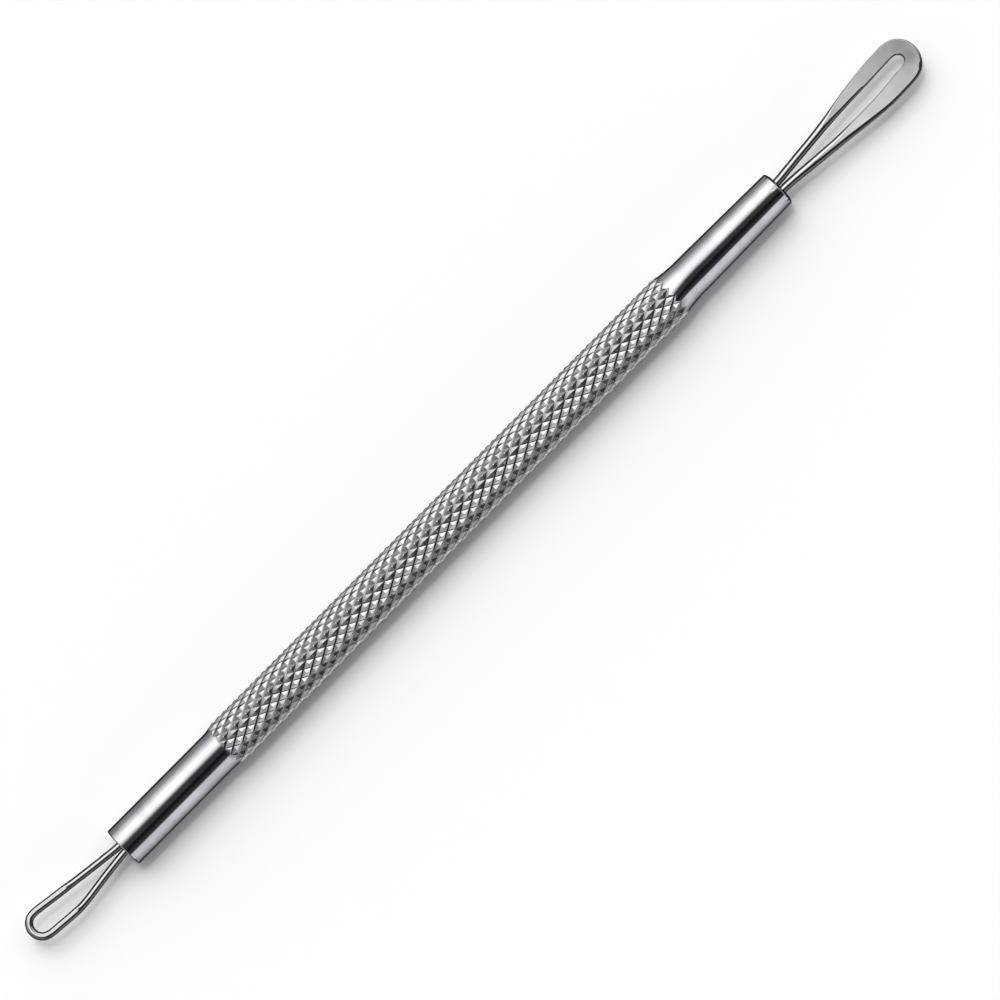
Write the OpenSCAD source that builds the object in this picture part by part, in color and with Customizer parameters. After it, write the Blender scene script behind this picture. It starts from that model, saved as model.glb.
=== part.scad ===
// Blackhead extractor: a knurled steel handle with a wire loop soldered into each end.
// The handle lies along X. Its thick neck and the narrow loop are at -X, its thin neck
// and the flattened loop at +X. Both loops lie flat in the XY plane.
// The origin is on the handle's axis, halfway between the tips of the two loops.

/* [Grip] */
// Length of the knurled grip, from shoulder to shoulder
grip_length = 64.55; // [40:0.05:90]
// Diameter over the crests of the knurl
grip_d = 5.24; // [5.14:0.02:7]
// Number of grooves that run round the grip each way
knurl_starts = 16; // [14:1:20]
// Spacing of the diamonds along the grip
knurl_pitch = 1.65; // [1.3:0.05:2.4]
// Depth of the grooves below the crests
knurl_depth = 0.2; // [0.1:0.01:0.25]

/* [Thick neck] */
// Length of the neck at the narrow loop, from its end face to the grip
thick_neck_length = 15.49; // [12:0.01:25]
// Diameter of this neck, the same all the way
thick_neck_d = 4.7; // [4.5:0.01:4.8]
// Length of the hollow fillet that leads up to the grip
thick_fillet_length = 1.2; // [0.6:0.1:2.5]
// Rounding of the edge round its end face
thick_edge_round = 0.08; // [0.04:0.01:0.3]

/* [Thin neck] */
// Length of the neck at the flattened loop, from its end face to the grip
thin_neck_length = 16.46; // [13:0.01:25]
// Diameter at its end face
thin_neck_end_d = 4.08; // [3.7:0.01:4.3]
// Diameter where the flare begins
thin_neck_root_d = 4.41; // [4.3:0.01:4.8]
// Length of the flare that leads up to the grip
thin_flare_length = 5; // [2:0.1:6]
// Rounding of the edge round its end face
thin_edge_round = 0.28; // [0.05:0.01:0.4]

/* [Bores and punch marks] */
// Diameter of the bore that holds the narrow loop's legs
narrow_bore_d = 2; // [1.9:0.02:2.6]
// Diameter of the bore that holds the flattened loop's legs
flat_bore_d = 2.3; // [2.2:0.02:2.8]
// Depth of both bores
bore_depth = 8; // [6:0.1:11]
// Gap between the ends of the legs and the floor of a bore
leg_end_gap = 0.5; // [0.1:0.1:2]
// Distance of each punch mark's middle from the end face
punch_setback = 0.84; // [0.8:0.01:2]
// Length of a punch mark
punch_length = 1.04; // [0.5:0.01:1.1]
// Depth of a punch mark
punch_depth = 0.1; // [0.03:0.01:0.2]
// Direction of the thin neck's punch mark, from straight up towards +Y
thin_punch_angle = 9; // [0:1:60]

/* [Narrow loop] */
// Diameter of the wire that this loop is bent from
narrow_wire_d = 0.81; // [0.6:0.01:0.83]
// Length of the loop that stands out of the neck
narrow_reach = 13.26; // [10:0.01:18]
// Width over the outside of the loop
narrow_width = 3.95; // [3.8:0.01:4.1]
// Distance that the loop's middle line leans to +Y
narrow_lean = 0.28; // [0:0.01:0.3]
// Spacing of the two legs' centres where they leave the neck
narrow_leg_spacing = 0.86; // [0.86:0.01:0.95]
// Radius of the bow's centre line
narrow_bow_r = 1.38; // [1.2:0.01:1.42]
// Distance of the bend in the lower leg from the end face
narrow_bend_reach = 7.4; // [5:0.1:8.5]
// Thickness of the wire where the bow is pressed
narrow_pressed_t = 0.72; // [0.55:0.01:0.76]

/* [Flattened loop] */
// Diameter of the wire that this loop is bent from
flat_wire_d = 0.92; // [0.7:0.01:0.95]
// Length of the loop that stands out of the neck
flat_reach = 20.24; // [16:0.01:26]
// Width over the outside of the loop
flat_width = 5.25; // [5.1:0.01:5.8]
// Distance that the loop's middle line leans to +Y
flat_lean = 0.28; // [0:0.01:0.4]
// Spacing of the two legs' centres where they leave the neck
flat_leg_spacing = 0.98; // [0.98:0.01:1.1]
// Distance that the legs' middle line leans to +Y
flat_leg_lean = 0.04; // [0:0.01:0.08]
// Radius of the bow's centre line
flat_bow_r = 1.59; // [1.4:0.01:1.65]
// Width of the flattened band on the upper arm and the bow
flat_band_w = 1.7; // [1.2:0.01:1.8]
// How much wider the band is on the lower arm
flat_band_swell = 0.27; // [0:0.01:0.3]

/* [Solder] */
// Distance of the solder's face below the end face
solder_recess = 0.12; // [0:0.01:0.4]
// Gap between the solder and what it fills or holds
solder_gap = 0.01; // [0.01:0.01:0.03]

/* [Hidden] */

// Places along X
overall = narrow_reach + thick_neck_length + grip_length + thin_neck_length + flat_reach;
thick_end_x = -overall / 2 + narrow_reach;
grip_start_x = thick_end_x + thick_neck_length;
grip_end_x = grip_start_x + grip_length;
thin_end_x = grip_end_x + thin_neck_length;

// Radii of the handle
grip_r = grip_d / 2;
valley_r = grip_r - knurl_depth;
thick_neck_r = thick_neck_d / 2;
thin_end_r = thin_neck_end_d / 2;
thin_root_r = thin_neck_root_d / 2;
// The turned profile stands clear of the crests by this much along the grip
spare = 0.05;
// How sharply each lead up to the grip curves: a plain parabola, and a hollower curve
fillet_power = 2;
flare_power = 3.5;
curve_steps = 8;
edge_steps = 4;
turned_fn = 96;
rod_fn = 48;

// Radii of the bores and of the wire
narrow_bore_r = narrow_bore_d / 2;
flat_bore_r = flat_bore_d / 2;
narrow_wire_r = narrow_wire_d / 2;
flat_wire_r = flat_wire_d / 2;
leg_depth = bore_depth - leg_end_gap;
punch_r = (punch_length * punch_length / 4 + punch_depth * punch_depth) / (2 * punch_depth);
thin_slope = (thin_root_r - thin_end_r) / (thin_neck_length - thin_flare_length);
// Cuts run past a face by this much
over = 1;

// Radius of a curve that leads from a neck up to the grip, at a share of its length
function lead_r(neck_r, share, power) = neck_r + (grip_r - neck_r) * pow(share, power);

// Quarter round on a neck's end edge, as radius and distance from the end face
function edge_round(neck_r, rounding) =
    [for (i = [0:edge_steps])
        let (a = 90 * i / edge_steps)
        [neck_r - rounding * (1 - sin(a)), rounding * (1 - cos(a))]];

// The turned bar: its radius and its place along X, from one end face to the other
function turned_profile() = concat(
    [[0, thick_end_x]],
    [for (p = edge_round(thick_neck_r, thick_edge_round)) [p[0], thick_end_x + p[1]]],
    [for (i = [0:curve_steps])
        let (share = i / curve_steps)
        [lead_r(thick_neck_r, share, fillet_power),
            grip_start_x - thick_fillet_length * (1 - share)]],
    [[grip_r + spare, grip_start_x + spare], [grip_r + spare, grip_end_x - spare]],
    [for (i = [0:curve_steps])
        let (share = 1 - i / curve_steps)
        [lead_r(thin_root_r, share, flare_power),
            grip_end_x + thin_flare_length * (1 - share)]],
    [for (i = [edge_steps:-1:0])
        let (p = edge_round(thin_end_r, thin_edge_round)[i])
        [p[0], thin_end_x - p[1]]],
    [[0, thin_end_x]]);

// Rows of groove crossings, half a pitch apart. They run past both shoulders,
// so that the turned leads cut the last diamonds short.
half_pitch = knurl_pitch / 2;
run_out = 1.8;
rows = 2 * ceil((grip_length + 2 * run_out) / knurl_pitch) + 1;
first_row_x = (grip_start_x + grip_end_x) / 2 - (rows - 1) * half_pitch / 2;
sector = 360 / knurl_starts;
// Turned so that the lowest and the highest lines lie between two rows of crests
knurl_turn = sector / 4;
cover_r = (grip_r + 2 * spare) / cos(sector / 2);

function ring_point(r, x, angle) = [x, r * cos(angle), r * sin(angle)];
function crossing_r(row) = row == 0 || row == rows - 1 ? cover_r : valley_r;
function valley_angle(row, j) = (j + (row % 2) / 2) * sector + knurl_turn;
// Places of a groove crossing, a crest and a cover's corner in the list of points
function valley_at(row, j) = row * knurl_starts + (j + knurl_starts) % knurl_starts;
function crest_at(row, j) = (rows + row - 1) * knurl_starts + j;
function cover_at(ring, j) = (2 * rows - 2 + ring) * knurl_starts + j % knurl_starts;

// The knurled bar before its ends are turned: four-sided diamonds between the grooves,
// and past them a plain cover at each end, which the turned profile lies inside
module knurled_bar() {
    last = rows - 1;
    valleys = [for (row = [0:last], j = [0:knurl_starts - 1])
        ring_point(crossing_r(row), first_row_x + row * half_pitch, valley_angle(row, j))];
    crests = [for (row = [1:last - 1], j = [0:knurl_starts - 1])
        ring_point(grip_r, first_row_x + row * half_pitch, valley_angle(row - 1, j))];
    covers = [for (row = [0, last], j = [0:knurl_starts - 1])
        ring_point(cover_r, row == 0 ? thick_end_x - over : thin_end_x + over, valley_angle(row, j))];
    diamonds = [for (row = [1:last - 1], j = [0:knurl_starts - 1])
        let (
            shift = (row - 1) % 2,
            top = crest_at(row, j),
            back = valley_at(row - 1, j),
            front = valley_at(row + 1, j),
            left = valley_at(row, j + shift),
            right = valley_at(row, j + shift - 1))
        each [[top, left, back], [top, front, left], [top, right, front], [top, back, right]]];
    ends = [for (j = [0:knurl_starts - 1])
        each [
            [valley_at(0, j), valley_at(1, j), valley_at(0, j + 1)],
            [valley_at(last, j), valley_at(last, j + 1), valley_at(last - 1, j + last % 2)],
            [cover_at(0, j), valley_at(0, j), valley_at(0, j + 1), cover_at(0, j + 1)],
            [valley_at(last, j), cover_at(1, j), cover_at(1, j + 1), valley_at(last, j + 1)]]];
    caps = [
        [for (j = [0:knurl_starts - 1]) cover_at(0, j)],
        [for (j = [knurl_starts - 1:-1:0]) cover_at(1, j)]];
    polyhedron(points = concat(valleys, crests, covers), faces = concat(diamonds, ends, caps));
}

module turned_bar() {
    rotate([0, 90, 0])
        rotate_extrude($fn = turned_fn)
            polygon(turned_profile());
}

// A cylinder along X, from one place to another
module rod(r, from_x, to_x, y = 0) {
    translate([from_x, y, 0])
        rotate([0, 90, 0])
            cylinder(r = r, h = to_x - from_x, $fn = rod_fn);
}

// The ball that leaves a punch mark in a neck, in a direction given from straight up
module punch(x, neck_r, angle) {
    rotate([-angle, 0, 0])
        translate([x, 0, neck_r - punch_depth + punch_r])
            sphere(r = punch_r, $fn = rod_fn);
}

// One steel bar: knurled, then turned down to a neck at each end, bored and punched
module handle() {
    color("silver")
        difference() {
            intersection() {
                knurled_bar();
                turned_bar();
            }
            rod(narrow_bore_r, thick_end_x - over, thick_end_x + bore_depth);
            rod(flat_bore_r, thin_end_x - bore_depth, thin_end_x + over);
            punch(thick_end_x + punch_setback, thick_neck_r, -90);
            punch(thin_end_x - punch_setback, thin_end_r + thin_slope * punch_setback, thin_punch_angle);
        }
}

// Thickness of wire that has been pressed to a width, which keeps the area of its section.
// The section is taken as a band with half-round edges.
corner_loss = 1 - PI / 4;
function pressed_t(wire_r, w) =
    (w - sqrt(w * w - 4 * corner_loss * PI * wire_r * wire_r)) / (2 * corner_loss);
function pressed_w(wire_r, t) = (PI * wire_r * wire_r + corner_loss * t * t) / t;

// Section of the wire at a width and a thickness: two flats and two crowned edges
edge_crown = 1.12;
steepest = 84;
edge_points = 8;
function wire_section(w, t) =
    let (
        edge_r = min(w / 2, edge_crown * t / 2),
        reach = w / 2 - edge_r,
        turn = min(steepest, asin(min(1, t / 2 / edge_r))))
    [for (side = [0, 180], i = [0:edge_points - 1])
        let (a = turn * (2 * i / (edge_points - 1) - 1) + side)
        [edge_r * cos(a) + (side == 0 ? reach : -reach), edge_r * sin(a)]];

// A smooth curve through four stations, between the middle two
function knot(a, b) = sqrt(norm([a[0] - b[0], a[1] - b[1]]));
function between(a, b, ta, tb, t) = (a * (tb - t) + b * (t - ta)) / (tb - ta);
function curve_point(p0, p1, p2, p3, share) =
    let (
        t1 = knot(p0, p1),
        t2 = t1 + knot(p1, p2),
        t3 = t2 + knot(p2, p3),
        t = t1 + (t2 - t1) * share,
        a1 = between(p0, p1, 0, t1, t),
        a2 = between(p1, p2, t1, t2, t),
        a3 = between(p2, p3, t2, t3, t),
        b1 = between(a1, a2, 0, t2, t),
        b2 = between(a2, a3, t1, t3, t))
    between(b1, b2, t1, t2, t);

// All the stations of a bent wire joined up: distance from the end face, Y, width, thickness.
// It starts and ends straight along the handle.
curve_substeps = 4;
function mirrored(p) = [-p[0], p[1], p[2], p[3]];
function bent_wire(stations) =
    let (
        last = len(stations) - 1,
        all = concat([mirrored(stations[1])], stations, [mirrored(stations[last - 1])]),
        first = stations[0],
        final = stations[last],
        leg_start = [-leg_depth, first[1], first[2], first[3]],
        leg_end = [-leg_depth, final[1], final[2], final[3]])
    concat(
        [leg_start],
        [for (i = [1:last], k = [0:curve_substeps - 1])
            curve_point(all[i - 1], all[i], all[i + 1], all[i + 2], k / curve_substeps)],
        [final, leg_end]);

// The wire's section carried along its path
module swept_wire(path) {
    last = len(path) - 1;
    n = 2 * edge_points;
    points = [for (i = [0:last])
        let (
            before = path[max(i - 1, 0)],
            after = path[min(i + 1, last)],
            run = [after[0] - before[0], after[1] - before[1]],
            across = [-run[1], run[0]] / norm(run))
        each [for (p = wire_section(path[i][2], path[i][3]))
            [path[i][0] + across[0] * p[0], path[i][1] + across[1] * p[0], p[1]]]];
    sides = [for (i = [0:last - 1], j = [0:n - 1])
        let (
            a = i * n + j,
            b = i * n + (j + 1) % n,
            c = b + n,
            d = a + n)
        each [[a, c, b], [a, d, c]]];
    polyhedron(
        points = points,
        faces = concat(sides, [[for (j = [0:n - 1]) j]], [[for (j = [n - 1:-1:0]) last * n + j]]));
}

// A leg of a loop, from its shares of the way along, of the way out, and of the pressing
function leg(shares, length, from_y, to_y) =
    [for (s = shares) [length * s[0], from_y + (to_y - from_y) * s[1], s[2]]];

// The bow of a loop, as a part of a circle
bow_steps = 6;
function bow(centre_x, centre_y, r, from_angle, to_angle, steps) =
    [for (i = [0:steps])
        let (a = from_angle + (to_angle - from_angle) * i / steps)
        [centre_x + r * cos(a), centre_y + r * sin(a), 1]];

function reversed(list) = [for (i = [len(list) - 1:-1:0]) list[i]];
function eased(x) = let (t = max(0, min(1, x))) t * t * (3 - 2 * t);

// Narrow loop: the upper leg runs out in one sweep, the lower leg bends halfway,
// and past the bend the wire is lightly pressed
narrow_pressed_w = pressed_w(narrow_wire_r, narrow_pressed_t);
narrow_line_w = narrow_width - narrow_pressed_w;
narrow_top_y = narrow_lean + narrow_line_w / 2;
narrow_bend_y = narrow_lean - narrow_line_w / 2;
narrow_bow_x = narrow_reach - narrow_pressed_w / 2 - narrow_bow_r;
narrow_bow_y = narrow_top_y - narrow_bow_r;
narrow_leg_y = narrow_leg_spacing / 2;
narrow_upper_shares = [[0, 0, 0], [0.2, 0.15, 0], [0.4, 0.35, 0], [0.56, 0.53, 0], [0.64, 0.62, 1],
    [0.8, 0.8, 1], [0.92, 0.94, 1]];
narrow_lower_shares = [[0, 0, 0], [0.21, 0.16, 0], [0.42, 0.37, 0], [0.63, 0.62, 0], [0.84, 0.88, 0],
    [1, 1, 0.3]];
// From the bend to the bow
narrow_run_shares = [[0.12, 0.04, 1], [0.35, 0.2, 1], [0.7, 0.58, 1]];

function narrow_stations() =
    let (
        upper = leg(narrow_upper_shares, narrow_bow_x, narrow_leg_y, narrow_top_y),
        lower = leg(narrow_lower_shares, narrow_bend_reach, -narrow_leg_y, narrow_bend_y),
        end_y = narrow_bow_y - narrow_bow_r,
        run = [for (p = leg(narrow_run_shares, narrow_bow_x - narrow_bend_reach, narrow_bend_y, end_y))
            [narrow_bend_reach + p[0], p[1], p[2]]],
        bent = bow(narrow_bow_x, narrow_bow_y, narrow_bow_r, 96, -80, bow_steps))
    [for (p = concat(upper, bent, reversed(run), reversed(lower)))
        [p[0], p[1],
            narrow_wire_d + (narrow_pressed_w - narrow_wire_d) * p[2],
            narrow_wire_d + (narrow_pressed_t - narrow_wire_d) * p[2]]];

// Flattened loop: round legs that are pressed wider and thinner towards the bow
flat_line_w = flat_width - flat_band_w - flat_band_swell / 2;
flat_top_y = flat_lean + flat_line_w / 2;
flat_low_y = flat_lean - flat_line_w / 2;
flat_bow_x = flat_reach - flat_band_w / 2 - flat_bow_r;
flat_bow_y = flat_top_y - flat_bow_r;
flat_upper_leg_y = flat_leg_lean + flat_leg_spacing / 2;
flat_lower_leg_y = flat_leg_lean - flat_leg_spacing / 2;
flat_upper_shares = [[0, 0, 0], [0.1, 0.1, 0], [0.22, 0.24, 0.01], [0.34, 0.37, 0.03],
    [0.45, 0.51, 0.14], [0.57, 0.67, 0.42], [0.69, 0.81, 0.73], [0.8, 0.91, 0.93], [0.92, 0.99, 1]];
flat_lower_shares = [[0, 0, 0], [0.1, 0.09, 0.03], [0.22, 0.3, 0.1], [0.34, 0.5, 0.15],
    [0.45, 0.67, 0.22], [0.57, 0.83, 0.42], [0.69, 0.95, 0.64], [0.8, 1, 0.85], [0.92, 0.88, 1]];

function flat_stations() =
    let (
        upper = leg(flat_upper_shares, flat_bow_x, flat_upper_leg_y, flat_top_y),
        lower = leg(flat_lower_shares, flat_bow_x, flat_lower_leg_y, flat_low_y),
        bent = bow(flat_bow_x, flat_bow_y, flat_bow_r, 84, -78, bow_steps))
    [for (p = concat(upper, bent, reversed(lower)))
        let (
            swell = flat_band_swell * eased((flat_bow_y - p[1]) / flat_bow_r),
            w = flat_wire_d + (flat_band_w + swell - flat_wire_d) * p[2])
        [p[0], p[1], w, pressed_t(flat_wire_r, w)]];

module narrow_loop() {
    color("gainsboro")
        translate([thick_end_x, 0, 0])
            mirror([1, 0, 0])
                swept_wire(bent_wire(narrow_stations()));
}

module flattened_loop() {
    color("gainsboro")
        translate([thin_end_x, 0, 0])
            swept_wire(bent_wire(flat_stations()));
}

// Solder that fills a bore round the two legs, up to just below the end face
module solder(bore_r, wire_r, leg_ys) {
    difference() {
        rod(bore_r - solder_gap, solder_gap - bore_depth, -solder_recess);
        for (y = leg_ys)
            rod(wire_r + solder_gap, -leg_depth - solder_gap, over, y);
    }
}

module narrow_loop_solder() {
    color("darkgray")
        translate([thick_end_x, 0, 0])
            mirror([1, 0, 0])
                solder(narrow_bore_r, narrow_wire_r, [narrow_leg_y, -narrow_leg_y]);
}

module flattened_loop_solder() {
    color("darkgray")
        translate([thin_end_x, 0, 0])
            solder(flat_bore_r, flat_wire_r, [flat_upper_leg_y, flat_lower_leg_y]);
}

handle();
narrow_loop();
flattened_loop();
narrow_loop_solder();
flattened_loop_solder();
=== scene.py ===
# %% [markdown]
# # A blackhead extractor
# A slim steel tool for skin care: one knurled bar with a smooth neck at each end, and a wire
# loop soldered into each neck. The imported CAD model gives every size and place. This lesson
# dresses it: the bar, the two loops and the solder are modelled again in finer detail, in the
# same frame, and get polished steel made from nodes.
# All shapes are made in millimetres, and are scaled to metres when a piece is finished.

# %% Load the frame
import math

import bmesh
import bpy
from mathutils import Matrix, Vector, noise


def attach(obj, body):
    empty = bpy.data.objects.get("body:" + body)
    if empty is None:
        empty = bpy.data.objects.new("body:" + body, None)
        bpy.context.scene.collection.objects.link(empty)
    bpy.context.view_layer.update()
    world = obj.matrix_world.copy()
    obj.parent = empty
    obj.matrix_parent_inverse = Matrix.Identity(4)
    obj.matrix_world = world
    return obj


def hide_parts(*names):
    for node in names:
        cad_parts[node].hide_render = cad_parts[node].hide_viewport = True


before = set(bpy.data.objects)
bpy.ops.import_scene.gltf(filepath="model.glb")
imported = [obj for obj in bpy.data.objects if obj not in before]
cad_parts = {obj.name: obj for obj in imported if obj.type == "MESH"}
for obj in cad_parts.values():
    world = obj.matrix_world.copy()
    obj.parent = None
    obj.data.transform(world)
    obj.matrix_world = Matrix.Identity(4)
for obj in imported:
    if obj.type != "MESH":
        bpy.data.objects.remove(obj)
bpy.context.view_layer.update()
MM = 0.001

# %% [markdown]
# The photograph looks straight down on the table through a long lens. The tool lies in it at
# 45 degrees, so the camera is turned about its own line of sight and nothing else is turned.
# A lens of 350 mm a metre away keeps the sides of the tool parallel, as they are there.

# %% The camera
PICTURE_WIDTH = 103.6
CAMERA_HEIGHT = 1000.0
TOOL_TURN = 45.2
PICTURE_MIDDLE = (1.33, -2.32)

camera_data = bpy.data.cameras.new("camera")
camera_data.sensor_width = 36
camera_data.lens = camera_data.sensor_width * CAMERA_HEIGHT / PICTURE_WIDTH
camera_data.clip_start, camera_data.clip_end = 0.05, 20
camera = bpy.data.objects.new("camera", camera_data)
camera.location = Vector((*PICTURE_MIDDLE, CAMERA_HEIGHT)) * MM
camera.rotation_euler = (0, 0, math.radians(-TOOL_TURN))
bpy.context.scene.collection.objects.link(camera)
bpy.context.scene.camera = camera
bpy.context.scene.view_settings.view_transform = "Standard"
print("lens", round(camera_data.lens), "mm")

# %% [markdown]
# Every piece ends the same way. Its mesh is scaled to metres and gets its normals recalculated
# so that they all point out. Faces are shaded smooth, and edges that are a real corner are
# marked sharp. Then the piece rides on the tool's one body and replaces its CAD node.


# %% Finishing a piece
def sharpen(bm, angle):
    """Smooth faces, with a sharp edge wherever two faces meet at more than the angle in degrees."""
    limit = math.radians(angle)
    for face in bm.faces:
        face.smooth = True
    for edge in bm.edges:
        edge.smooth = len(edge.link_faces) == 2 and edge.calc_face_angle(0) < limit


def finish_piece(name, bm, node, materials, angle):
    """A finished object from a mesh in millimetres, which stands for a CAD node."""
    bmesh.ops.scale(bm, vec=(MM, MM, MM), verts=bm.verts)
    bmesh.ops.recalc_face_normals(bm, faces=bm.faces)
    sharpen(bm, angle)
    mesh = bpy.data.meshes.new(name)
    bm.to_mesh(mesh)
    open_edges = sum(1 for edge in bm.edges if len(edge.link_faces) != 2)
    triangles = sum(len(face.verts) - 2 for face in bm.faces)
    bm.free()
    for material in materials:
        mesh.materials.append(material)
    piece = bpy.data.objects.new(name, mesh)
    bpy.context.scene.collection.objects.link(piece)
    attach(piece, "root")
    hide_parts(node)
    print(name, "has", triangles, "triangles and", open_edges, "open edges")
    return piece


# %% [markdown]
# ## Steel
# The tool is polished stainless steel, so nearly all of its look is what it reflects. The
# shader is metallic, with a base colour that is the share of light it gives back. The tint is
# what it gives back at a glancing angle, and a dark one draws the thin dark line that a round
# bar of steel has along both of its edges.


# %% Small helpers for nodes
def new_material(name):
    material = bpy.data.materials.new(name)
    material.use_nodes = True
    tree = material.node_tree
    return material, tree, tree.nodes["Principled BSDF"]


def add_node(tree, kind, inputs=None, **settings):
    """A node with its settings, whose inputs are numbers or other nodes' outputs."""
    node = tree.nodes.new(kind)
    for key, value in settings.items():
        setattr(node, key, value)
    for key, value in (inputs or {}).items():
        if isinstance(value, bpy.types.NodeSocket):
            tree.links.new(value, node.inputs[key])
        else:
            node.inputs[key].default_value = value
    return node


def compute(tree, operation, *values, clamp=False):
    """A Math node on one or two values."""
    return add_node(tree, "ShaderNodeMath", dict(enumerate(values)), operation=operation,
                    use_clamp=clamp).outputs[0]


def from_to(tree, value, low, high, from_low=0.35, from_high=0.65):
    """The value brought from one range to another. A noise keeps mostly within 0.35 to 0.65."""
    return add_node(tree, "ShaderNodeMapRange", {
        0: value, 1: from_low, 2: from_high, 3: low, 4: high,
    }).outputs[0]


def fill_ramp(ramp, stops):
    """Give a colour ramp its stops, each a place from 0 to 1 and a colour."""
    elements = ramp.color_ramp.elements
    while len(elements) < len(stops):
        elements.new(0.5)
    for element, (place, color) in zip(elements, stops):
        element.position, element.color = place, color


def grey(level, blue=1.0):
    return (level, level, level * blue, 1)


def stretched_noise(tree, stretch, scale, detail=3.0):
    """A noise pattern on the piece's own coordinates, drawn out along some axes."""
    place = add_node(tree, "ShaderNodeTexCoord")
    mapping = add_node(tree, "ShaderNodeMapping", {0: place.outputs["Object"], "Scale": stretch})
    return add_node(tree, "ShaderNodeTexNoise", {
        "Vector": mapping.outputs[0], "Scale": scale, "Detail": detail, "Roughness": 0.5,
    }).outputs["Fac"]


def bump(tree, shader, height, depth_mm):
    node = add_node(tree, "ShaderNodeBump", {"Height": height, "Distance": depth_mm * MM})
    tree.links.new(node.outputs[0], shader.inputs["Normal"])


# %% [markdown]
# The necks are turned and then polished. What is left of the turning is a faint unevenness
# that runs round the bar, so the noise for it is stretched more round the bar than along it.
# A second noise varies the roughness, as a polishing wheel leaves some patches brighter than
# others. A third draws soft smudges, which make the long reflections waver along the neck.

# %% Turned and polished steel
STEEL = (0.62, 0.615, 0.635, 1)
STEEL_SMUDGE = (0.53, 0.525, 0.55, 1)
STEEL_EDGE = (0, 0, 0, 1)
TURNED_BUMP = 0.003


def steel_shader(name, roughness):
    material, tree, shader = new_material(name)
    shader.inputs["Base Color"].default_value = STEEL
    shader.inputs["Metallic"].default_value = 1
    shader.inputs["Specular Tint"].default_value = STEEL_EDGE
    shader.inputs["Roughness"].default_value = roughness
    return material, tree, shader


turned_steel, tree, shader = steel_shader("turned_steel", 0.12)
bump(tree, shader, stretched_noise(tree, (1, 0.2, 0.2), 520, detail=1), TURNED_BUMP)
patches = stretched_noise(tree, (0.5, 1, 1), 300, detail=1)
tree.links.new(from_to(tree, patches, 0.09, 0.13), shader.inputs["Roughness"])
wiped = stretched_noise(tree, (1, 0.3, 0.3), 620, detail=1)
smudges = add_node(tree, "ShaderNodeValToRGB", {0: wiped})
fill_ramp(smudges, [(0.35, STEEL_SMUDGE), (0.62, STEEL)])
tree.links.new(smudges.outputs[0], shader.inputs["Base Color"])
print(turned_steel.name, "has", len(tree.nodes), "nodes")

# %% [markdown]
# The knurl is rolled into the same steel. Its crests are polished by the wheel, and its
# colour is made darker towards the bottom of its grooves. The distance from the bar's axis tells
# one from the other, so the colour and the roughness are both read from that.

# %% Knurled steel
GRIP_R = 2.62
KNURL_DEPTH = 0.2
# The colour is darker towards the bottom of the grooves and plain steel nearer the crests.
GROOVE_DARKENING = (0.12, 0.12, 0.125, 1)
DARKENING_TOP, PLAIN_FROM = -0.02, 0.03
KNURL_BUMP = 0.003

knurled_steel, tree, shader = steel_shader("knurled_steel", 0.2)
place = add_node(tree, "ShaderNodeTexCoord")
across = add_node(tree, "ShaderNodeVectorMath", {0: place.outputs["Object"], 1: (0, 1, 1)},
                  operation="MULTIPLY")
radius = add_node(tree, "ShaderNodeVectorMath", {0: across.outputs[0]}, operation="LENGTH")
groove_r = GRIP_R - KNURL_DEPTH
polish = from_to(tree, radius.outputs["Value"], 0, 1,
                 (groove_r + DARKENING_TOP) * MM, (groove_r + PLAIN_FROM) * MM)
darkening = add_node(tree, "ShaderNodeValToRGB", {0: polish})
fill_ramp(darkening, [(0, GROOVE_DARKENING), (1, STEEL)])
tree.links.new(darkening.outputs[0], shader.inputs["Base Color"])
tree.links.new(from_to(tree, polish, 0.2, 0.08, 0, 1), shader.inputs["Roughness"])
bump(tree, shader, stretched_noise(tree, (1, 1, 1), 2600), KNURL_BUMP)
print(knurled_steel.name, "has oxide up to a radius of", round(groove_r + PLAIN_FROM, 2), "mm")

# %% [markdown]
# The loops are drawn wire. Down its sides it is given a painted shade, darker than its top and
# bottom, for the dark reflections along the edges of a round wire. Where a press has flattened
# the wire it is satin: the press plates leave a fine grain that scatters the light, so a flat
# looks pale from everywhere. A lower Metallic scatters the light in the same way.
#
# Two tests together find a flat: its normal is upright, and it lies lower than the top of a
# round wire. The normal alone would also whiten the very top of the round legs. The flats get a
# painted shade that darkens along the loop towards the bow, for the dark ceiling that a flat
# there mirrors, and it is mottled by a noise. On the flattened loop they are also painted
# darker on the upper arm and in one blot on the bow.

# %% Drawn and pressed wire
# The sides of a round wire get a painted shade: a darker colour than its top and bottom.
PAINTED_SIDE_SHADE = (0.15, 0.15, 0.155, 1)
SIDES_BELOW, BRIGHT_ABOVE = 0.84, 0.93
UPRIGHT = (0.9975, 0.9995)
PRESSED_HEIGHT = (0.93, 0.975)
WIRE_BRIGHT, WIRE_SATIN = 0.1, 0.45
MOTTLE = 0.12
UPPER_ARM_Y = (-0.5, 1.5)
BLOT, BLOT_R = 0.45, 1.1


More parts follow.
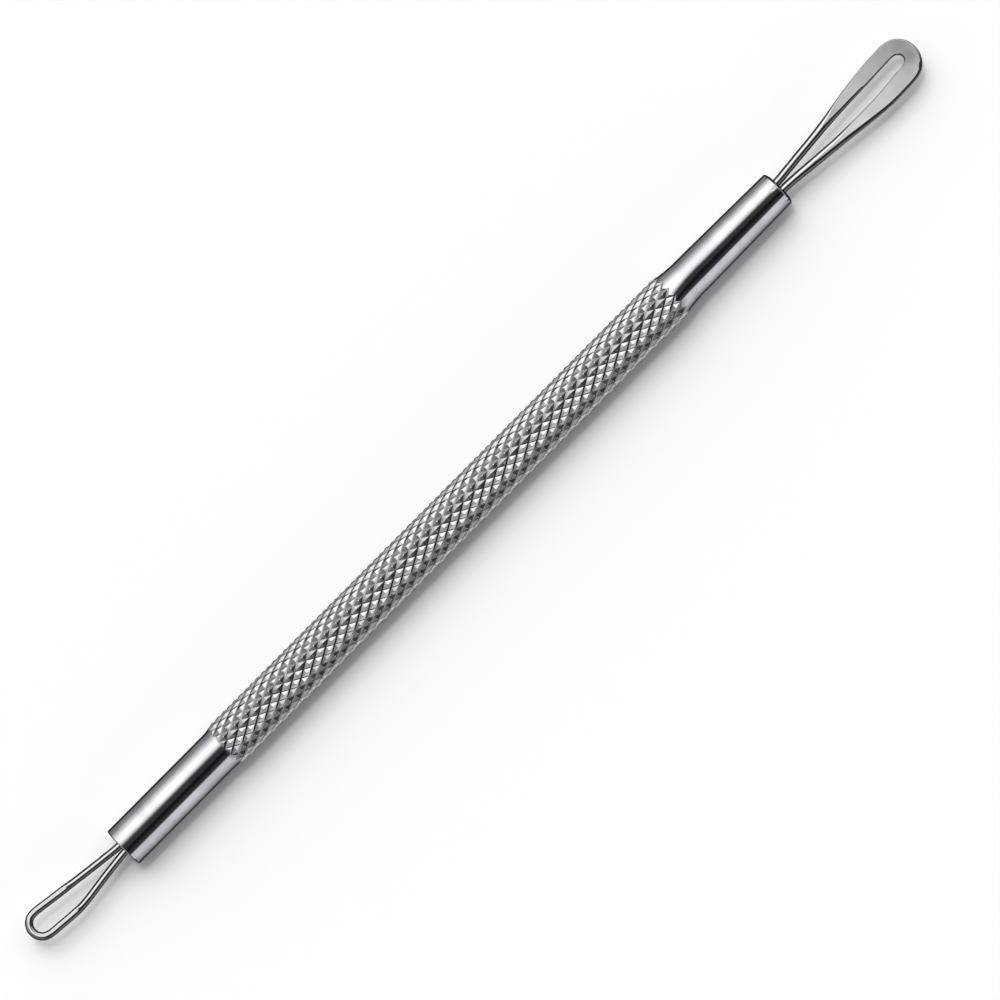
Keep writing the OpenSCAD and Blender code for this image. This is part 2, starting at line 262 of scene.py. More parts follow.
def wire_steel(name, wire_r, scatter, arm, bow, upper=0.0, blot=None):
    """Steel of a pressed wire. Its flats get a painted shade, one at arm and another at bow, each
    (X, shade).

    upper is how far the upper arm goes to the bow's painted shade, and blot the middle of a darker
    spot.
    """
    material, tree, shader = steel_shader(name, WIRE_BRIGHT)
    spot = add_node(tree, "ShaderNodeTexCoord").outputs["Object"]
    place = add_node(tree, "ShaderNodeSeparateXYZ", {0: spot}).outputs
    normal = add_node(tree, "ShaderNodeNewGeometry").outputs["Normal"]
    normal_z = add_node(tree, "ShaderNodeSeparateXYZ", {0: normal}).outputs["Z"]
    upright = compute(tree, "ABSOLUTE", normal_z)
    height = compute(tree, "ABSOLUTE", place["Z"])
    level = from_to(tree, upright, 0, 1, *UPRIGHT)
    pressed = from_to(tree, height, 1, 0, *(share * wire_r * MM for share in PRESSED_HEIGHT))
    flat = compute(tree, "MULTIPLY", level, pressed)

    reach = from_to(tree, place["X"], 0, 1, arm[0] * MM, bow[0] * MM)
    parts = [from_to(tree, stretched_noise(tree, (1, 1, 1), 420, detail=5), -MOTTLE, MOTTLE),
             from_to(tree, place["Y"], 0, upper, *(y * MM for y in UPPER_ARM_Y))]
    if blot:
        gap = add_node(tree, "ShaderNodeVectorMath", {0: spot, 1: [c * MM for c in blot]},
                       operation="DISTANCE").outputs["Value"]
        parts.append(from_to(tree, gap, BLOT, 0, 0, BLOT_R * MM))
    for part in parts:
        reach = compute(tree, "ADD", reach, part, clamp=True)
    # The flats' colour: a painted shade that darkens from arm to bow and on the upper arm, with a
    # darker blot, mottled by a noise.
    satin = add_node(tree, "ShaderNodeValToRGB", {0: reach})
    fill_ramp(satin, [(0, grey(arm[1], 1.02)), (1, grey(bow[1], 1.03))])
    # Round wire: plain steel on top and bottom, and a painted shade down its sides.
    round_side_shade = add_node(tree, "ShaderNodeValToRGB", {0: upright})
    fill_ramp(round_side_shade, [(SIDES_BELOW, PAINTED_SIDE_SHADE), (BRIGHT_ABOVE, STEEL)])
    color = add_node(tree, "ShaderNodeMix", {"Factor": flat}, data_type="RGBA")
    tree.links.new(round_side_shade.outputs[0], color.inputs[6])
    tree.links.new(satin.outputs[0], color.inputs[7])
    tree.links.new(color.outputs[2], shader.inputs["Base Color"])
    tree.links.new(from_to(tree, flat, WIRE_BRIGHT, WIRE_SATIN, 0, 1), shader.inputs["Roughness"])
    tree.links.new(from_to(tree, flat, 1, scatter, 0, 1), shader.inputs["Metallic"])
    print(name, "has", len(tree.nodes), "nodes")
    return material


bright_wire = wire_steel("bright_wire", wire_r=0.405, scatter=0.3,
                         arm=(-59, 0.95), bow=(-62, 0.88))
pressed_wire = wire_steel("pressed_wire", wire_r=0.46, scatter=0.5,
                          arm=(55.8, 0.8), bow=(71.4, 0.38), upper=0.33, blot=(63.9, -0.1, 0.2))


# %% [markdown]
# Silver solder is duller and softer looking than the steel. It cools with an uneven skin, so
# its roughness and its bump both come from one noise.

# %% Silver solder
SOLDER = (0.55, 0.54, 0.53, 1)
SOLDER_BUMP = 0.03

solder_silver, tree, shader = steel_shader("solder_silver", 0.4)
shader.inputs["Base Color"].default_value = SOLDER
skin = stretched_noise(tree, (1, 1, 1), 2200, detail=4)
tree.links.new(from_to(tree, skin, 0.3, 0.55), shader.inputs["Roughness"])
bump(tree, shader, skin, SOLDER_BUMP)
print(solder_silver.name, "has", len(tree.nodes), "nodes")

# %% [markdown]
# ## The handle
# The handle is one bar. On a lathe it would be knurled first and turned after, because the
# tool that turns the necks also cuts the last diamonds of the knurl short. The same order
# works here: a knurled bar that is too long is cut down by a turned one with a boolean.
#
# First, one diamond. It starts as one square face. Its two axes become the directions across
# the two families of grooves, so the walls of the grooves are its four facets. One inset draws
# the channel at the bottom of the grooves, a second the rim of the crest, and a poke sets a
# vertex on the crest. The roll cuts one family of grooves wider than the other, so the channel
# is moved in further along one axis of the square.

# %% One diamond of the knurl
GRIP_START, GRIP_END = -36.25, 28.30
STARTS = 16
PITCH = 1.65
SECTOR = 2 * math.pi / STARTS
CHANNEL, CREST = 0.9, 0.1
WIDE, NARROW = 0.84, 0.93
CREST_HEIGHT = 0.93
SAME = 0.001


def on_bar(x, radius, angle):
    return Vector((x, radius * math.cos(angle), radius * math.sin(angle)))


def ring_of(vert):
    """1 on the border of the square, CHANNEL and CREST on the insets, and 0 in the middle."""
    return max(abs(vert.co.x), abs(vert.co.y))


def height_of(vert):
    """0 at the bottom of the grooves, CREST_HEIGHT on the rim of the crest and 1 in its middle."""
    if ring_of(vert) > (CHANNEL + CREST) / 2:
        return 0
    return CREST_HEIGHT if ring_of(vert) > SAME else 1


bm = bmesh.new()
bmesh.ops.create_grid(bm, x_segments=1, y_segments=1, size=1)
middle = bm.faces[:]
for width in (1 - CHANNEL, CHANNEL - CREST):
    bmesh.ops.inset_individual(bm, faces=middle, thickness=width, use_even_offset=True)
along_rings = [e for e in bm.edges if abs(ring_of(e.verts[0]) - ring_of(e.verts[1])) < SAME]
bmesh.ops.subdivide_edges(bm, edges=along_rings, cuts=2, use_grid_fill=True)
bmesh.ops.poke(bm, faces=middle)
for vert in bm.verts:
    a, b = vert.co.x, vert.co.y
    radius = GRIP_R - KNURL_DEPTH * (1 - height_of(vert))
    if abs(ring_of(vert) - CHANNEL) < SAME:
        a, b = a * WIDE / CHANNEL, b * NARROW / CHANNEL
    vert.co = on_bar((a + b) * PITCH / 4, radius, (a - b) * SECTOR / 4)
print("one diamond has", len(bm.faces), "faces")

# %% [markdown]
# Sixteen diamonds make a ring, which is a spin that duplicates. Rings are then laid along the
# bar half a pitch apart, each turned by half a diamond from the last, and the seams between
# them are welded. The bar is turned so that its lowest line lies between two rows of crests.

# %% A ring, and the whole knurl
RUN_OUT = 1.8
ring_count = 2 * math.ceil((GRIP_END - GRIP_START + 2 * RUN_OUT) / PITCH) - 1
first_ring_x = (GRIP_START + GRIP_END) / 2 - (ring_count - 1) * PITCH / 4

bmesh.ops.spin(bm, geom=bm.verts[:] + bm.edges[:] + bm.faces[:], cent=(0, 0, 0),
               axis=(1, 0, 0), angle=SECTOR * (STARTS - 1), steps=STARTS - 1, use_duplicate=True)
ring = bm.verts[:] + bm.edges[:] + bm.faces[:]
for i in range(1, ring_count):
    copied = bmesh.ops.duplicate(bm, geom=ring)["geom"]
    verts = [item for item in copied if isinstance(item, bmesh.types.BMVert)]
    bmesh.ops.rotate(bm, verts=verts, cent=(0, 0, 0),
                     matrix=Matrix.Rotation((i % 2) * SECTOR / 2, 3, "X"))
    bmesh.ops.translate(bm, verts=verts, vec=(i * PITCH / 2, 0, 0))
bmesh.ops.translate(bm, verts=bm.verts, vec=(first_ring_x, 0, 0))
bmesh.ops.rotate(bm, verts=bm.verts, cent=(0, 0, 0), matrix=Matrix.Rotation(SECTOR / 4, 3, "X"))
bmesh.ops.remove_doubles(bm, verts=bm.verts, dist=0.001)
print(ring_count, "rings,", len(bm.faces), "faces")

# %% [markdown]
# No knurl is perfectly even. Two noises, one slow and one quicker, take off up to two
# hundredths of a millimetre, which is enough to make one row glint more than the next.

# %% Wear on the knurl
WEAR = ((0.55, 0.014), (2.3, 0.012))
deepest = 0
for vert in bm.verts:
    worn = abs(sum(noise.noise(vert.co * waves) * depth for waves, depth in WEAR))
    vert.co.yz *= 1 - worn / GRIP_R
    deepest = max(deepest, worn)
print("deepest wear", round(deepest, 3), "mm")

# %% [markdown]
# The knurled sheet is open at both ends in a zigzag. Each end is extruded straight out past
# the end of the bar and closed with one face, so that the boolean gets a closed body.

# %% Closing the knurled bar
THICK_END, THIN_END = -51.74, 44.76
for end_x, side in ((THICK_END - 2, -1), (THIN_END + 2, 1)):
    rim = [e for e in bm.edges if e.is_boundary and e.verts[0].co.x * side > 0]
    grown = bmesh.ops.extrude_edge_only(bm, edges=rim)["geom"]
    for item in grown:
        if isinstance(item, bmesh.types.BMVert):
            item.co.x = end_x
    outer = [item for item in grown if isinstance(item, bmesh.types.BMEdge) and item.is_boundary]
    bmesh.ops.holes_fill(bm, edges=outer, sides=0)
bmesh.ops.recalc_face_normals(bm, faces=bm.faces)
knurled_mesh = bpy.data.meshes.new("knurled_bar")
bm.to_mesh(knurled_mesh)
print("open edges of the knurled bar:", sum(1 for edge in bm.edges if edge.is_boundary))
bm.free()

# %% [markdown]
# The turned profile is a line of points from one end face to the other: the rounded edge of
# the thick neck, its straight side, the hollow fillet up to the grip, then the grip, the long
# flare, and the thin neck with its softer edge. A full spin turns it into a bar. The long
# sides are cut into short steps, so that a punch mark can be cut in cleanly later.

# %% The turned profile
THICK_R, THIN_R, THIN_ROOT_R = 2.35, 2.04, 2.205
FILLET, FLARE = 1.5, 5.0
FILLET_POWER, FLARE_POWER = 2, 3.5
FILLET_STEPS, FLARE_STEPS = 14, 24
THICK_ROUND, THIN_ROUND, THIN_DOME = 0.16, 0.34, 1.0
CLEAR = 0.05


def rounded_edge(radius, inward, along, steps):
    """Radius and distance from the end face, from the face to the side of the neck."""
    for i in range(steps + 1):
        a = math.pi / 2 * i / steps
        yield radius - inward * (1 - math.sin(a)), along * (1 - math.cos(a))


def lead(neck_r, share, power):
    """Radius of a curve that leads from a neck up to the grip."""
    return neck_r + (GRIP_R - neck_r) * share ** power


def steps_between(start, end, count):
    return [start + (end - start) * i / count for i in range(1, count)]


thick_edge = list(rounded_edge(THICK_R, THICK_ROUND, THICK_ROUND, 8))
thin_edge = list(rounded_edge(THIN_R, THIN_DOME, THIN_ROUND, 12))
flare_end = GRIP_END + FLARE
profile = [(THICK_END, 0)]
profile += [(THICK_END + x, r) for r, x in thick_edge]
profile += [(x, THICK_R)
            for x in steps_between(THICK_END + THICK_ROUND, GRIP_START - FILLET, 30)]
profile += [(GRIP_START - FILLET * (1 - i / FILLET_STEPS),
             lead(THICK_R, i / FILLET_STEPS, FILLET_POWER)) for i in range(FILLET_STEPS + 1)]
profile += [(GRIP_START + CLEAR, GRIP_R + CLEAR), (GRIP_END - CLEAR, GRIP_R + CLEAR)]
profile += [(GRIP_END + FLARE * i / FLARE_STEPS,
             lead(THIN_ROOT_R, 1 - i / FLARE_STEPS, FLARE_POWER)) for i in range(FLARE_STEPS + 1)]
profile += [(x, THIN_ROOT_R + (THIN_R - THIN_ROOT_R) * (x - flare_end) / (THIN_END - flare_end))
            for x in steps_between(flare_end, THIN_END - THIN_ROUND, 24)]
profile += [(THIN_END - x, r) for r, x in reversed(thin_edge)]
profile += [(THIN_END, 0)]
print("the profile has", len(profile), "points")

# %% [markdown]
# The spin needs use_merge, so that its last step meets its first and the bar is closed. The
# doubles on the axis are merged, and the normals are then turned outwards. The bores' cutters
# are made by the same function.


# %% Spinning a profile into a bar
def spin_profile(points, steps):
    """A closed turned body about X, from points of X and radius."""
    bm = bmesh.new()
    line = [bm.verts.new((x, r, 0)) for x, r in points]
    edges = [bm.edges.new(pair) for pair in zip(line, line[1:])]
    bmesh.ops.spin(bm, geom=line + edges, cent=(0, 0, 0), axis=(1, 0, 0),
                   angle=2 * math.pi, steps=steps, use_merge=True)
    bmesh.ops.remove_doubles(bm, verts=bm.verts, dist=0.0005)
    bmesh.ops.recalc_face_normals(bm, faces=bm.faces)
    return bm


bm = spin_profile(profile, 192)
turned_mesh = bpy.data.meshes.new("turned_bar")
bm.to_mesh(turned_mesh)
print("the turned bar has", len(bm.faces), "faces")
bm.free()

# %% [markdown]
# The cutters are the two bores that the loops stand in, and the punch marks near both ends.
# A punch mark is what a round-nosed punch leaves, so each one is cut with a ball. Both were
# polished nearly away, so they are very shallow, and the ball is large. The thin neck's taper
# lifts its mark by THIN_PUNCH_RISE.

# %% Bores and punch marks
NARROW_BORE_R, FLAT_BORE_R, BORE_DEPTH = 1.0, 1.15, 8.0
PUNCH_LENGTH, PUNCH_DEPTH = 1.1, 0.022
PUNCH_R = (PUNCH_LENGTH ** 2 / 4 + PUNCH_DEPTH ** 2) / (2 * PUNCH_DEPTH)
THICK_PUNCH, THIN_PUNCH = 0.84, 0.36
THIN_PUNCH_RISE = 0.006


def bore(radius, closed_x, open_x):
    return spin_profile([(closed_x, 0), (closed_x, radius), (open_x, radius), (open_x, 0)], 96)


def punch(x, neck_r, angle):
    """The ball of a punch that strikes a neck from a direction, in degrees from straight up."""
    bm = bmesh.new()
    bmesh.ops.create_uvsphere(bm, u_segments=256, v_segments=128, radius=PUNCH_R)
    lift = neck_r - PUNCH_DEPTH + PUNCH_R
    turn = math.radians(angle)
    bmesh.ops.translate(bm, verts=bm.verts,
                        vec=(x, lift * math.sin(turn), lift * math.cos(turn)))
    return bm


cutters = [
    bore(NARROW_BORE_R, THICK_END + BORE_DEPTH, THICK_END - 1),
    bore(FLAT_BORE_R, THIN_END - BORE_DEPTH, THIN_END + 1),
    punch(THICK_END + THICK_PUNCH, THICK_R, -76),
    punch(THIN_END - THIN_PUNCH, THIN_R + THIN_PUNCH_RISE, 9),
]
print("the punch's ball has a radius of", round(PUNCH_R, 2), "mm")

# %% [markdown]
# Now the booleans. The knurled faces are on the first material slot and the turned ones on the
# second, and the boolean keeps each face's slot, so that the cut diamonds and the turned
# fillet both keep their own finish.


# %% Cutting the bar
def solid(name, mesh, slot):
    """An object whose faces are all on one of the bar's two material slots."""
    for material in (knurled_steel, turned_steel):
        mesh.materials.append(material)
    for face in mesh.polygons:
        face.material_index = slot
    obj = bpy.data.objects.new(name, mesh)
    bpy.context.scene.collection.objects.link(obj)
    return obj


bar = solid("bar_blank", knurled_mesh, 0)
tools = [("INTERSECT", solid("turned_tool", turned_mesh, 1))]
for i, bm in enumerate(cutters):
    mesh = bpy.data.meshes.new(f"cutter_{i}")
    bm.to_mesh(mesh)
    bm.free()
    tools.append(("DIFFERENCE", solid(f"cutter_tool_{i}", mesh, 1)))
for operation, tool in tools:
    cut = bar.modifiers.new(tool.name, "BOOLEAN")
    cut.operation, cut.solver, cut.object = operation, "MANIFOLD", tool
    cut.material_mode = "INDEX"

depsgraph = bpy.context.evaluated_depsgraph_get()
cut_mesh = bpy.data.meshes.new_from_object(bar.evaluated_get(depsgraph))
for obj in [bar] + [tool for _, tool in tools]:
    bpy.data.objects.remove(obj)
bm = bmesh.new()
bm.from_mesh(cut_mesh)
bmesh.ops.dissolve_degenerate(bm, dist=0.0004, edges=bm.edges)
handle = finish_piece("handle_bar", bm, "handle",
                      [knurled_steel, turned_steel], angle=15)


# %% [markdown]
# Where a knurled face meets a turned one the edge is sharp, whatever the angle. Without that,
# the shading of the last diamonds would bleed along the smooth neck. The ridges of the
# diamonds that run along the bar are worn round by the hand, so those edges become smooth.

# %% The edge between knurl and neck
LENGTHWISE = 4
RIDGE_R = GRIP_R - KNURL_DEPTH * 0.3

bm = bmesh.new()
bm.from_mesh(handle.data)
for edge in bm.edges:
    start, end = (vert.co / MM for vert in edge.verts)
    lengthwise = abs(end.x - start.x) > LENGTHWISE * abs((end.yz - start.yz).length)
    ridge = max(start.yz.length, end.yz.length) > RIDGE_R
    slots = {face.material_index for face in edge.link_faces}
    if len(slots) > 1:
        edge.smooth = False
    elif lengthwise and ridge and slots == {0}:
        edge.smooth = True
print("sharp edges on the handle:", sum(1 for edge in bm.edges if not edge.smooth))
bm.to_mesh(handle.data)
bm.free()

# %% [markdown]
# ## The loops
# Both loops are wire, bent in one plane and then pressed. Each is a sweep: a ring of vertices,
# the wire's section, is extruded from station to station along the path, and set square to it
# each time. A station holds the distance from the neck's end face, the place across, the
# width of the wire, its thickness, and how far it is pressed. Pressing keeps the area of the
# section, so a wider wire is a thinner one.
#
# A pressed section has a flat above and below, and a rounded shoulder on each side. The outer
# and the inner shoulder of the loop can differ. On a wire that isn't pressed each shoulder is
# half the width, which makes the section round.

# %% The wire's section
SECTION_EDGE = 15
FLAT_RIM = 0.96
CORNER_LOSS = 1 - math.pi / 4


def pressed_thickness(wire_r, w):
    return (w - math.sqrt(w * w - 4 * CORNER_LOSS * math.pi * wire_r ** 2)) / (2 * CORNER_LOSS)


def pressed_width(wire_r, t):
    return (math.pi * wire_r ** 2 + CORNER_LOSS * t * t) / t


def section_points(w, t, outer, inner):
    """Across and up: two flats joined by an outer and an inner elliptic shoulder."""
    for side, shoulder in ((1, outer), (-1, inner)):
        flat = w / 2 - shoulder
        yield side * flat * FLAT_RIM, -side * t / 2
        for i in range(SECTION_EDGE):
            a = math.pi * (i / (SECTION_EDGE - 1) - 0.5)
            yield side * (flat + shoulder * math.cos(a)), side * t / 2 * math.sin(a)
        yield side * flat * FLAT_RIM, side * t / 2


print("a section has", 2 * (SECTION_EDGE + 2), "points")

# %% [markdown]
# The stations are joined by a smooth curve that passes through each of them, a centripetal
# spline, because that one makes no loops or overshoots where two stations lie close together.
# Before the first and after the last station it takes the mirror image of the next one.


# %% A smooth curve through the stations
def spline(p0, p1, p2, p3, share):
    def knot(a, b):
        return math.sqrt(math.hypot(a[0] - b[0], a[1] - b[1]))

    def between(a, b, ta, tb):
        return (a * (tb - t) + b * (t - ta)) / (tb - ta)

    t1 = knot(p0, p1)
    t2 = t1 + knot(p1, p2)
    t3 = t2 + knot(p2, p3)
    t = t1 + (t2 - t1) * share
    a1, a2, a3 = between(p0, p1, 0, t1), between(p1, p2, t1, t2), between(p2, p3, t2, t3)
    return between(between(a1, a2, 0, t2), between(a2, a3, t1, t3), t1, t2)


def through(stations, steps=10):
    """A finer row of stations along the spline."""
    points = [Vector(s) for s in stations]
    flip = Vector((-1, 1, 1, 1, 1))
    row = [points[1] * flip] + points + [points[-2] * flip]
    path = []
    for i in range(len(points) - 1):
        path += [spline(*row[i:i + 4], k / steps) for k in range(steps)]
    return path + [points[-1]]


# %% [markdown]
# The sweep itself. The first section starts as a circle, and every extrusion of its rim is
# moved to the next station. The two ends, deep in the bore, are closed with a face each.

# %% Sweeping the wire
LEG_DEPTH = 7.5


def place_of(vert):
    return tuple(round(c, 6) for c in vert.co)


def sweep(path, end_x, side, shoulders):
    """The wire along a path of stations. shoulders(station) gives the outer and the inner one."""
    first, last = path[0].copy(), path[-1].copy()
    first[0] = last[0] = -LEG_DEPTH
    path = [first] + path + [last]
    bm = bmesh.new()
    circle = bmesh.ops.create_circle(bm, segments=2 * (SECTION_EDGE + 2), radius=0.5)["verts"]
    rim = list(dict.fromkeys(e for v in circle for e in v.link_edges))
    loops = [circle]
    for _ in path[1:]:
        grown = bmesh.ops.extrude_edge_only(bm, edges=rim)["geom"]
        new = [item for item in grown if isinstance(item, bmesh.types.BMVert)]
        found = {place_of(v): v for v in new}
        loops.append([found[place_of(v)] for v in circle])
        rim = [item for item in grown if isinstance(item, bmesh.types.BMEdge)
               and item.verts[0] in new and item.verts[1] in new]
    for i, (station, loop) in enumerate(zip(path, loops)):
        before, after = path[max(i - 1, 0)], path[min(i + 1, len(path) - 1)]
        run = Vector((after[0] - before[0], after[1] - before[1])).normalized()
        d, y, w, t, _ = station
        for vert, (out, up) in zip(loop, section_points(w, t, *shoulders(station))):
            vert.co = (end_x + side * (d - run.y * out), y + run.x * out, up)
    for loop in (loops[0], loops[-1]):
        bm.faces.new(loop)
    return bm


# %% [markdown]
# The narrow loop's upper leg runs out in one sweep, and its lower leg bends halfway. Past the
# bend the wire is lightly pressed. The shares say how far along, how far out and how far
# pressed each station is. The shoulder on one side of the wire is slimmer than on the other,
# as the press plate lay a little aslant.


# %% The narrow loop
def leg(shares, length, from_y, to_y, start=0.0):
    return [(start + length * s[0], from_y + (to_y - from_y) * s[1], s[2]) for s in shares]


def bow(x, y, radius, from_angle, to_angle, steps=6):
    turn = (to_angle - from_angle) / steps
    angles = [math.radians(from_angle + turn * i) for i in range(steps + 1)]
    return [(x + radius * math.cos(a), y + radius * math.sin(a), 1) for a in angles]


def clamped(share):
    return max(0, min(1, share))


NARROW_WIRE, NARROW_REACH, NARROW_WIDTH, NARROW_LEAN = 0.81, 13.25, 3.95, 0.28
NARROW_T, NARROW_BOW_R, NARROW_BEND = 0.72, 1.38, 7.4
NARROW_W = pressed_width(NARROW_WIRE / 2, NARROW_T)
NARROW_LEG_Y = 0.43
narrow_top = NARROW_LEAN + (NARROW_WIDTH - NARROW_W) / 2
narrow_bend_y = NARROW_LEAN - (NARROW_WIDTH - NARROW_W) / 2
narrow_bow_x = NARROW_REACH - NARROW_W / 2 - NARROW_BOW_R
narrow_bow_y = narrow_top - NARROW_BOW_R

upper = leg([(0, 0, 0), (0.2, 0.15, 0), (0.4, 0.35, 0), (0.56, 0.53, 0), (0.64, 0.62, 1),
             (0.8, 0.8, 1), (0.92, 0.94, 1)], narrow_bow_x, NARROW_LEG_Y, narrow_top)
lower = leg([(0, 0, 0), (0.21, 0.16, 0), (0.42, 0.37, 0), (0.63, 0.62, 0), (0.84, 0.88, 0),
             (1, 1, 0.3)], NARROW_BEND, -NARROW_LEG_Y, narrow_bend_y)
run = leg([(0.12, 0.04, 1), (0.35, 0.2, 1), (0.7, 0.58, 1)], narrow_bow_x - NARROW_BEND,
          narrow_bend_y, narrow_bow_y - NARROW_BOW_R, NARROW_BEND)
tip = bow(narrow_bow_x, narrow_bow_y, NARROW_BOW_R, 96, -80)
bent = upper + tip + run[::-1] + lower[::-1]
SLIM_SHOULDER, WIDE_SHOULDER = 0.28, 0.42


def narrow_shoulders(station):
    _, y, w, _, s = station
    drop = clamped((narrow_top - y) / (2 * NARROW_BOW_R))
    outer = SLIM_SHOULDER + (WIDE_SHOULDER - SLIM_SHOULDER) * drop
    inner = WIDE_SHOULDER + (SLIM_SHOULDER - WIDE_SHOULDER) * drop
    s = clamped(s)
    return w / 2 + (outer - w / 2) * s, w / 2 + (inner - w / 2) * s


stations = []
for d, y, s in bent:
    w = NARROW_WIRE + (NARROW_W - NARROW_WIRE) * s
    t = NARROW_WIRE + (NARROW_T - NARROW_WIRE) * s
    stations.append((d, y, w, t, s))
bm = sweep(through(stations), THICK_END, -1, narrow_shoulders)
finish_piece("narrow_wire_loop", bm, "narrow_loop", [bright_wire], angle=40)

# %% [markdown]
# The flattened loop is pressed much harder. Its round legs turn into a thin band over a few
# millimetres, which leaves a tongue-shaped flat on each arm, and its lower arm has spread a
# little wider than the upper one. On both arms the shoulder towards +Y is sharp and the other
# one is soft. Use has left a small nick on the inner edge of the upper arm and a small dent
# near the tip.

# %% The flattened loop
FLAT_WIRE, FLAT_REACH, FLAT_WIDTH, FLAT_LEAN = 0.92, 20.23, 5.23, 0.28
FLAT_BAND, FLAT_SWELL, FLAT_BOW_R = 1.7, 0.27, 1.59
FLAT_LEG_YS = (0.53, -0.45)
flat_line = FLAT_WIDTH - FLAT_BAND - FLAT_SWELL / 2
flat_top, flat_low = FLAT_LEAN + flat_line / 2, FLAT_LEAN - flat_line / 2
flat_bow_x = FLAT_REACH - FLAT_BAND / 2 - FLAT_BOW_R
flat_bow_y = flat_top - FLAT_BOW_R

upper = leg([(0, 0, 0), (0.1, 0.1, 0), (0.22, 0.24, 0.01), (0.34, 0.37, 0.03),
             (0.45, 0.51, 0.14), (0.57, 0.67, 0.42), (0.69, 0.81, 0.73), (0.8, 0.91, 0.93),
             (0.92, 0.99, 1)], flat_bow_x, FLAT_LEG_YS[0], flat_top)
lower = leg([(0, 0, 0), (0.1, 0.09, 0.03), (0.22, 0.3, 0.1), (0.34, 0.5, 0.15),
             (0.45, 0.67, 0.22), (0.57, 0.83, 0.42), (0.69, 0.95, 0.64), (0.8, 1, 0.85),
             (0.92, 0.88, 1)], flat_bow_x, FLAT_LEG_YS[1], flat_low)
bent = upper + bow(flat_bow_x, flat_bow_y, FLAT_BOW_R, 84, -78) + lower[::-1]
SHARP_SHOULDER, ROUND_SHOULDER, LOWER_ARM_ROUND = 0.09, 0.25, 0.06
PRESS_FROM, SHARP_SPEED, ROUND_POWER = 0.12, 3, 0.6
UPPER_ARM = 0.2
NICK_D, NICK = 13.4, 0.09
DENT_D, DENT_Y, DENT = 18.6, (-1.5, -0.7), 0.12


def flat_shoulders(station):
    """turned goes from 0 on the upper arm to 1 on the lower one, where the sharp side is inside."""
    d, y, w, _, s = station
    turned = clamped(0.5 + (flat_bow_y - y) / (2 * FLAT_BOW_R))
    share = clamped((s - PRESS_FROM) / (1 - PRESS_FROM))
    sharp = w / 2 + (SHARP_SHOULDER - w / 2) * min(1, share * SHARP_SPEED)
    soft = ROUND_SHOULDER + LOWER_ARM_ROUND * turned
    soft = w / 2 + (soft - w / 2) * share ** ROUND_POWER
    outer, inner = sharp + (soft - sharp) * turned, soft + (sharp - soft) * turned
    if turned < UPPER_ARM and d > NICK_D:
        inner -= NICK
    if d > DENT_D and DENT_Y[0] < y < DENT_Y[1]:
        outer += DENT
    return outer, inner


stations = []
for d, y, s in bent:
    drop = clamped((flat_bow_y - y) / FLAT_BOW_R)
    swell = FLAT_SWELL * drop * drop * (3 - 2 * drop)
    w = FLAT_WIRE + (FLAT_BAND + swell - FLAT_WIRE) * s
    stations.append((d, y, w, pressed_thickness(FLAT_WIRE / 2, w), s))
print("the band is pressed to", round(min(t for _, _, _, t, _ in stations), 2), "mm")
bm = sweep(through(stations), THIN_END, 1, flat_shoulders)
finish_piece("flattened_wire_loop", bm, "flattened_loop", [pressed_wire], angle=40)

# %% [markdown]
# ## The solder
# Solder fills each bore round the two legs. It shows only in the mouth of the bore, where it
# wets the steel and climbs up every wall in a small hollow fillet. The plug is a disc of rings
# whose face is lifted near the wall and near the legs.

# %% Solder in the mouths of the bores
PLUG_GAP, PLUG_LENGTH = 0.01, 0.6
SOLDER_RECESS, SOLDER_CLIMB, CLIMB_WIDTH = 0.13, 0.1, 0.09


def solder(bore_r, wire_r, leg_ys, end_x, side):
    bm = bmesh.new()
    bmesh.ops.create_circle(bm, cap_ends=True, cap_tris=True, segments=96,
                            radius=bore_r - PLUG_GAP)
    bmesh.ops.subdivide_edges(bm, edges=bm.edges, cuts=6, use_grid_fill=True)
    face = bm.faces[:]
    for vert in bm.verts:
        gap = bore_r - vert.co.xy.length
        for y in leg_ys:
            gap = min(gap, max(0, (vert.co.xy - Vector((0, y))).length - wire_r))
        vert.co.z = SOLDER_CLIMB * math.exp(-gap / CLIMB_WIDTH)
    bmesh.ops.rotate(bm, verts=bm.verts, cent=(0, 0, 0),
                     matrix=Matrix.Rotation(math.pi / 2, 3, "Y"))
    for vert in bm.verts:
        vert.co.x = end_x + side * (abs(vert.co.x) - SOLDER_RECESS)
    grown = bmesh.ops.extrude_face_region(bm, geom=face)["geom"]
    for item in grown:
        if isinstance(item, bmesh.types.BMVert):
            item.co.x = end_x - side * PLUG_LENGTH
    return bm


narrow_plug = solder(NARROW_BORE_R, NARROW_WIRE / 2, (NARROW_LEG_Y, -NARROW_LEG_Y), THICK_END, -1)
flat_plug = solder(FLAT_BORE_R, FLAT_WIRE / 2, FLAT_LEG_YS, THIN_END, 1)
for bm, node in ((narrow_plug, "narrow_loop_solder"), (flat_plug, "flattened_loop_solder")):
    finish_piece(f"{node}_fill", bm, node, [solder_silver], angle=60)


# %% [markdown]
# ## The table and the light
# The tool lies on a white table, whose top is just under the knurl.

# %% The table
FLOOR_Z = -2.64
bm = bmesh.new()
bmesh.ops.create_grid(bm, x_segments=1, y_segments=1, size=6)
bmesh.ops.translate(bm, verts=bm.verts, vec=(0, 0, FLOOR_Z * MM))
floor_mesh = bpy.data.meshes.new("table")
bm.to_mesh(floor_mesh)
bm.free()
table_white, tree, shader = new_material("table_white")
shader.inputs["Base Color"].default_value = grey(0.95)
shader.inputs["Roughness"].default_value = 0.9
shader.inputs["Specular IOR Level"].default_value = 0
floor_mesh.materials.append(table_white)
table = bpy.data.objects.new("table", floor_mesh)
bpy.context.scene.collection.objects.link(table)
print("the table is", round(-GRIP_R - FLOOR_Z, 2), "mm below the grip")
